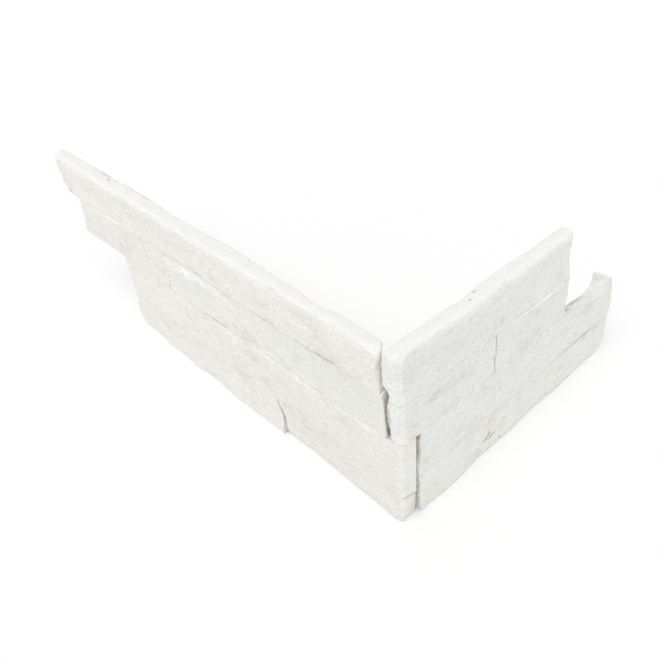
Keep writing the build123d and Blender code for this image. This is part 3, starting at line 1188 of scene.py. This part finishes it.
def long_leg() -> PanelLeg:
    """Set out the six stones of the long leg.

    Returns:
        The leg.
    """
    stones = [
        RivenStone(
            "long_top_strip",
            3,
            QuartziteFinish(
                WARM_WHITE, 0.04, 1, LONG_PITS + UPPER_SEAM + NEAR_SHADE + BACK_EDGE_SHADE + OVERHANG_SHADE
            ),
            {
                Arris.FACE_HEAD: Wear(2.6, 0.7),
                Arris.BACK_HEAD: Wear(2.2, 1.4),
                Arris.FAR_END: WORN,
                Arris.FAR_HEAD: WORN,
                Arris.NEAR_HEAD: ROUGH,
            },
            breaks=(
                Break(Arris.BACK_HEAD, 326, 352, 2, 2),
                Break(Arris.FACE_FOOT, 18, 158, 0.6, 0.9, 8),
            ),
            open_head_from=ALL_ALONG,
        ),
        RivenStone(
            "long_second_outer_strip",
            5,
            QuartziteFinish(WARM_WHITE, 0.1, 2, OUTER_ARRIS_LIGHT + BUTT_SEAM),
            {Arris.FAR_END: WORN},
            breaks=(
                Break(Arris.FACE_FOOT, 333, 420, 1.4, 1.4, 4),
                Break(Arris.FACE_HEAD, 312, 376, 1, 1.4, 5),
                Break(Arris.NEAR_END, 101, 120, 0.9, 0.9, 3),
            ),
            hollows=(Hollow((249.6, 12, 90), (2.3, 12, 12), -0.45, True),),
        ),
        RivenStone(
            "long_second_inner_strip",
            7,
            QuartziteFinish(
                CLEAR_WHITE,
                0.12,
                3,
                CORNER_CAST + BEVEL_LIGHT + BUTT_SEAM + UPPER_SEAM + MIDDLE_SEAM + CORNER_DIRT,
            ),
            breaks=(
                Break(Arris.FACE_HEAD, 156, 250, 3, 8.5, 14),
                Break(Arris.FACE_FOOT, 169, 211, 0.9, 1, 4),
            ),
            hollows=(Hollow((3.5, 8, 97), (2.5, 14, 19), -0.9),),
        ),
        RivenStone(
            "long_third_strip",
            11,
            QuartziteFinish(
                WARM_WHITE, 0.11, 4, NEAR_SHADE + LAP_CAST + PROUD_ARRIS_LIGHT + MIDDLE_SEAM + LOWER_SEAM
            ),
            {Arris.FAR_END: WORN, Arris.NEAR_END: SOFT},
            breaks=(
                Break(Arris.FACE_HEAD, -20, 182, 1.1, 3.6, 20),
                Break(Arris.FACE_FOOT, 256, 274, 0.8, 0.8, 3),
                Break(Arris.FACE_FOOT, 192, 214, 0.8, 0.8, 3),
            ),
            hollows=(Hollow((58.7, 16, 74), (4.5, 5, 3), 0.9),),
        ),
        RivenStone(
            "long_bottom_outer_strip",
            13,
            QuartziteFinish(DULL_WHITE, 0.1, 5, LOWER_SEAM),
            {Arris.FACE_FOOT: FLOOR_EDGE, Arris.FAR_END: WORN},
        ),
        RivenStone(
            "long_bottom_corner_strip",
            17,
            QuartziteFinish(DULL_WHITE, 0.1, 6, NEAR_SHADE + LAP_CAST + CRACK),
            {Arris.FACE_FOOT: FLOOR_EDGE, Arris.NEAR_END: SOFT, Arris.NEAR_FOOT: ROUGH},
            hollows=(Hollow((-16.5, 2, 6), (5, 13, 18.5), 0.6, True),),
        ),
    ]
    joints = (
        Joint("long_top_strip", "long_second_outer_strip", ((280, 306, 1), (312, 376, -1.3))),
        Joint("long_top_strip", "long_second_inner_strip", ((16, 158, 1), (195, 245, -0.6))),
        Joint("long_second_outer_strip", "long_third_strip", ((300, 325, 0.4),)),
        Joint("long_second_inner_strip", "long_third_strip", ((186, 212, 0.9), (-20, 176, -1))),
        Joint("long_third_strip", "long_bottom_outer_strip", ((254, 276, 0.8), (188, 216, 0.6))),
        Joint("long_third_strip", "long_bottom_corner_strip"),
    )
    return PanelLeg(Leg.LONG, stones, joints)


# Marks of the short leg
RUST_SPOTS = (
    Stain((15, 99, 15), (8, 15, 12), BLUSH, 0.14, 0.8, 0.9),
    Stain((15, 80, 20), (8, 15, 9), BLUSH, 0.34, 0.8, 0.9),
    Stain((16, 20.6, 10), (8, 14, 12), BLUSH, 0.22, 0.7, 0.9),
    Stain((15, 208.6, 33.8), (8, 11, 3.6), BLUSH, 0.5, 0.8, 0.8),
    Scratch(((15.3, 74.6, 14.6), (15.3, 77.9, 17.2), (15.3, 81.4, 19.2)), 3.1, RUST, 0.52),
    Scratch(((15.3, 81.4, 13.8), (15.3, 84.6, 14.9), (15.3, 89.3, 14.6)), 2.9, RUST, 0.52),
    Stain((15, 80.5, 16), (5, 6, 3), RUST, 0.2, 1.4, 0.9),
    Stain((15, 95.4, 4.6), (5, 2.2, 1.6), RUST, 0.4, 1, 0.8),
    Stain((13, 5, 37), (6, 2.5, 4), OLIVE_DIRT_AND_SHADE, 0.4, 0.8, 0.8),
)
# Olive dirt and a painted shadow line where the third strip stands proud of the bottom strip
OUTER_SEAM = (
    Stain((15, 191, 38), (9, 36, 3), SEAM_DIRT_AND_SHADOW, 0.3, 0.6, 0.9),
    Stain((15, 208, 38.6), (9, 14, 3.2), OLIVE_DIRT_AND_SHADE, 0.42, 0.6, 0.8),
)
# Painted highlight on the proud head arris of the short leg's outer second strip
HEAD_ARRIS_LIGHT = (Stain((15, 127, 113.6), (9, 40, 1.2), PAINTED_ARRIS_LIGHT, 0.85, 0.5, 0.6),)
NEAR_CAST = (Stain((14, 22, 130), (20, 60, 24), COOL_CAST, 0.4, 0.5, 0.9),)
SHORT_PITS = (
    Stain((7.1, 60.1, 152), (1.5, 1.5, 3), SOOT, 0.45, 0.6, 0.7),
    Stain((3.6, 68.5, 151.5), (1.5, 1.7, 3), SOOT, 0.45, 0.6, 0.7),
    Stain((13.1, 91.2, 152), (2, 3, 2), SOOT, 0.3, 0.8),
    Stain((1, -13.5, 116), (4, 3, 4), OLIVE_DIRT_AND_SHADE, 0.5, 0.8, 0.7),
)
GAP_DIRT = (
    Stain((2, -12, 98), (7, 6, 20), OLIVE_DIRT_AND_SHADE, 0.7, 0.8, 0.6),
    Stain((2, -10, 84), (6, 6, 8), OLIVE_DIRT_AND_SHADE, 0.7, 0.8, 0.6),
)
# Painted shade with grey dirt in the hollowed open bed of the third strip, and olive dirt in the gap at the
# corner
HOLLOW_SHADE_AND_DIRT = (
    Stain((3, 182, 71), (9, 13, 6), GREY_DIRT_AND_SHADE, 0.75, 0.9, 0.8),
    Stain((2, 204, 67), (5, 20, 4), GREY_DIRT_AND_SHADE, 0.6, 0.9, 0.8),
    Stain((10, 3, 76), (8, 3.5, 6), OLIVE_DIRT_AND_SHADE, 0.85, 0.6, 0.6),
    Stain((12, 4, 62), (6, 2.5, 12), OLIVE_DIRT_AND_SHADE, 0.5, 0.8, 0.8),
)


def short_leg() -> PanelLeg:
    """Set out the five stones of the short leg.

    Returns:
        The leg.
    """
    stones = [
        RivenStone(
            "short_top_strip",
            19,
            QuartziteFinish(COOL_WHITE, 0.1, 7, NEAR_CAST + SHORT_PITS),
            {
                Arris.FACE_HEAD: Wear(2.2, 0.8),
                Arris.BACK_HEAD: Wear(0.8, 1),
                Arris.NEAR_END: WORN,
                Arris.NEAR_HEAD: Wear(1.8, 0.6),
                Arris.FAR_END: WORN,
                Arris.FAR_HEAD: WORN,
            },
            hollows=(
                Hollow((60.1, 7.1, 152), (1.9, 1.9, 3), 1.2),
                Hollow((68.5, 3.6, 152), (1.9, 1.9, 3), 1.2),
                Hollow((91, 13, 151.5), (3.2, 3, 2.4), 1.1, True),
            ),
            open_head_from=ALL_ALONG,
        ),
        RivenStone(
            "short_second_corner_strip",
            23,
            QuartziteFinish(COOL_WHITE, 0.12, 8, GAP_DIRT),
            {Arris.NEAR_END: WORN},
        ),
        RivenStone(
            "short_second_outer_strip",
            29,
            QuartziteFinish(COOL_WHITE, 0.14, 9, HEAD_ARRIS_LIGHT),
            {Arris.FAR_END: WORN},
            breaks=(
                Break(Arris.FACE_HEAD, 96, 162, 1.2, 1.7, 6),
                Break(Arris.NEAR_END, 91, 104, 1.1, 0.9, 5),
            ),
            hollows=(Hollow((80.5, 13, 84), (2.7, 12, 10), -0.75, True),),
        ),
        RivenStone(
            "short_third_strip",
            31,
            QuartziteFinish(COOL_WHITE, 0.12, 10, HOLLOW_SHADE_AND_DIRT + OUTER_SEAM),
            {Arris.FAR_END: WORN},
            breaks=(Break(Arris.FACE_HEAD, 178, 232, 1, 1, 5),),
            hollows=(Hollow((0.5, 13, 46), (2.4, 14, 10), -0.6, True),),
            open_head_from=168,
        ),
        RivenStone(
            "short_bottom_strip",
            37,
            QuartziteFinish(COOL_WHITE, 0.1, 11, RUST_SPOTS + OUTER_SEAM),
            {Arris.FACE_FOOT: FLOOR_EDGE, Arris.FAR_END: WORN},
            hollows=(Hollow((0.6, 13, 19), (2.4, 14, 17), -0.8, True),),
        ),
    ]
    joints = (
        Joint("short_top_strip", "short_second_corner_strip"),
        Joint("short_top_strip", "short_second_outer_strip", ((96, 162, -1.5),)),
        Joint("short_second_corner_strip", "short_third_strip"),
        Joint("short_second_outer_strip", "short_third_strip"),
        Joint("short_third_strip", "short_bottom_strip", ((172, 222, 0.5),)),
    )
    return PanelLeg(Leg.SHORT, stones, joints)


@dataclass
class Studio:
    """Plain pale floor, soft light from everywhere, a wide soft lamp overhead, and the camera.

    The camera's place is in millimetres, its turns are in degrees, and its focal length is in pixels.
    """

    floor_size: float = 12.0
    floor_colour: float = 0.965
    sky: float = 0.74
    lamp: float = 1.05
    lamp_spread: float = 45.0
    lamp_from: Place = (0.2, -0.42, 0.88)
    camera_place: Place = (225.1, -233.2, 421.5)
    yaw: float = 140.586
    pitch: float = -38.770
    roll: float = -5.780
    focal_pixels: float = 707.93
    frame_pixels: float = 665.0
    sensor: float = 36.0

    def build(self) -> None:
        """Make the floor, the sky, the lamp and the camera."""
        self.make_floor()
        self.make_sky()
        self.make_lamp()
        self.make_camera()
        bpy.context.scene.view_settings.view_transform = "Standard"

    def make_floor(self) -> None:
        """Lay the floor under the panel's foot."""
        half = self.floor_size / 2
        mesh = bpy.data.meshes.new("studio_floor")
        corners = [(-half, -half, 0), (half, -half, 0), (half, half, 0), (-half, half, 0)]
        mesh.from_pydata(corners, [], [(0, 1, 2, 3)])
        floor = bpy.data.objects.new("studio_floor", mesh)
        bpy.context.scene.collection.objects.link(floor)
        material = bpy.data.materials.new("floor_paper")
        material.use_nodes = True
        board = NodeBoard(material.node_tree)
        paper = board.node("ShaderNodeBsdfDiffuse", {}, {"Color": (*[self.floor_colour] * 3, 1.0)})
        board.finish("ShaderNodeOutputMaterial", paper)
        mesh.materials.append(material)

    def make_sky(self) -> None:
        """Light the panel from all round, and show white where the sky itself is seen."""
        world = bpy.data.worlds.new("studio_sky")
        world.use_nodes = True
        bpy.context.scene.world = world
        board = NodeBoard(world.node_tree)
        rays = ("Is Camera Ray", "Is Glossy Ray", "Is Transmission Ray")
        seen, glossy, through = (board.node("ShaderNodeLightPath", {}, {}, ray) for ray in rays)
        shown = (seen + glossy + through).at_most(1.0)
        strength = shown * (1 - self.sky) + self.sky
        glow = board.node("ShaderNodeBackground", {}, {"Color": (1.0, 1.0, 1.0, 1.0), "Strength": strength})
        board.finish("ShaderNodeOutputWorld", glow)

    def make_lamp(self) -> None:
        """Hang the wide soft lamp."""
        light = bpy.data.lights.new("overhead_lamp", "SUN")
        light.energy = self.lamp
        light.angle = math.radians(self.lamp_spread)
        lamp = bpy.data.objects.new("overhead_lamp", light)
        lamp.rotation_euler = Vector(self.lamp_from).to_track_quat("Z", "Y").to_euler()
        bpy.context.scene.collection.objects.link(lamp)

    def make_camera(self) -> None:
        """Set the camera at the viewing angle."""
        yaw, pitch, roll = (math.radians(angle) for angle in (self.yaw, self.pitch, self.roll))
        ahead = Vector((math.cos(yaw) * math.cos(pitch), math.sin(yaw) * math.cos(pitch), math.sin(pitch)))
        level = ahead.cross(Vector((0, 0, 1))).normalized()
        upward = level.cross(ahead)
        right = level * math.cos(roll) + upward * math.sin(roll)
        up = upward * math.cos(roll) - level * math.sin(roll)
        data = bpy.data.cameras.new("view")
        data.sensor_width = self.sensor
        data.lens = self.focal_pixels / self.frame_pixels * self.sensor
        data.clip_end = 2 * self.floor_size
        camera = bpy.data.objects.new("view", data)
        turn = Matrix((right, up, -ahead)).transposed().to_4x4()
        camera.matrix_world = Matrix.Translation(Vector(self.camera_place) * MM) @ turn
        bpy.context.scene.collection.objects.link(camera)
        bpy.context.scene.camera = camera


def main() -> None:
    """Build the legs and the studio."""
    logging.basicConfig(level=logging.INFO)
    for leg in (long_leg(), short_leg()):
        leg.build()
    Studio().build()


if __name__ == "__main__":
    main()
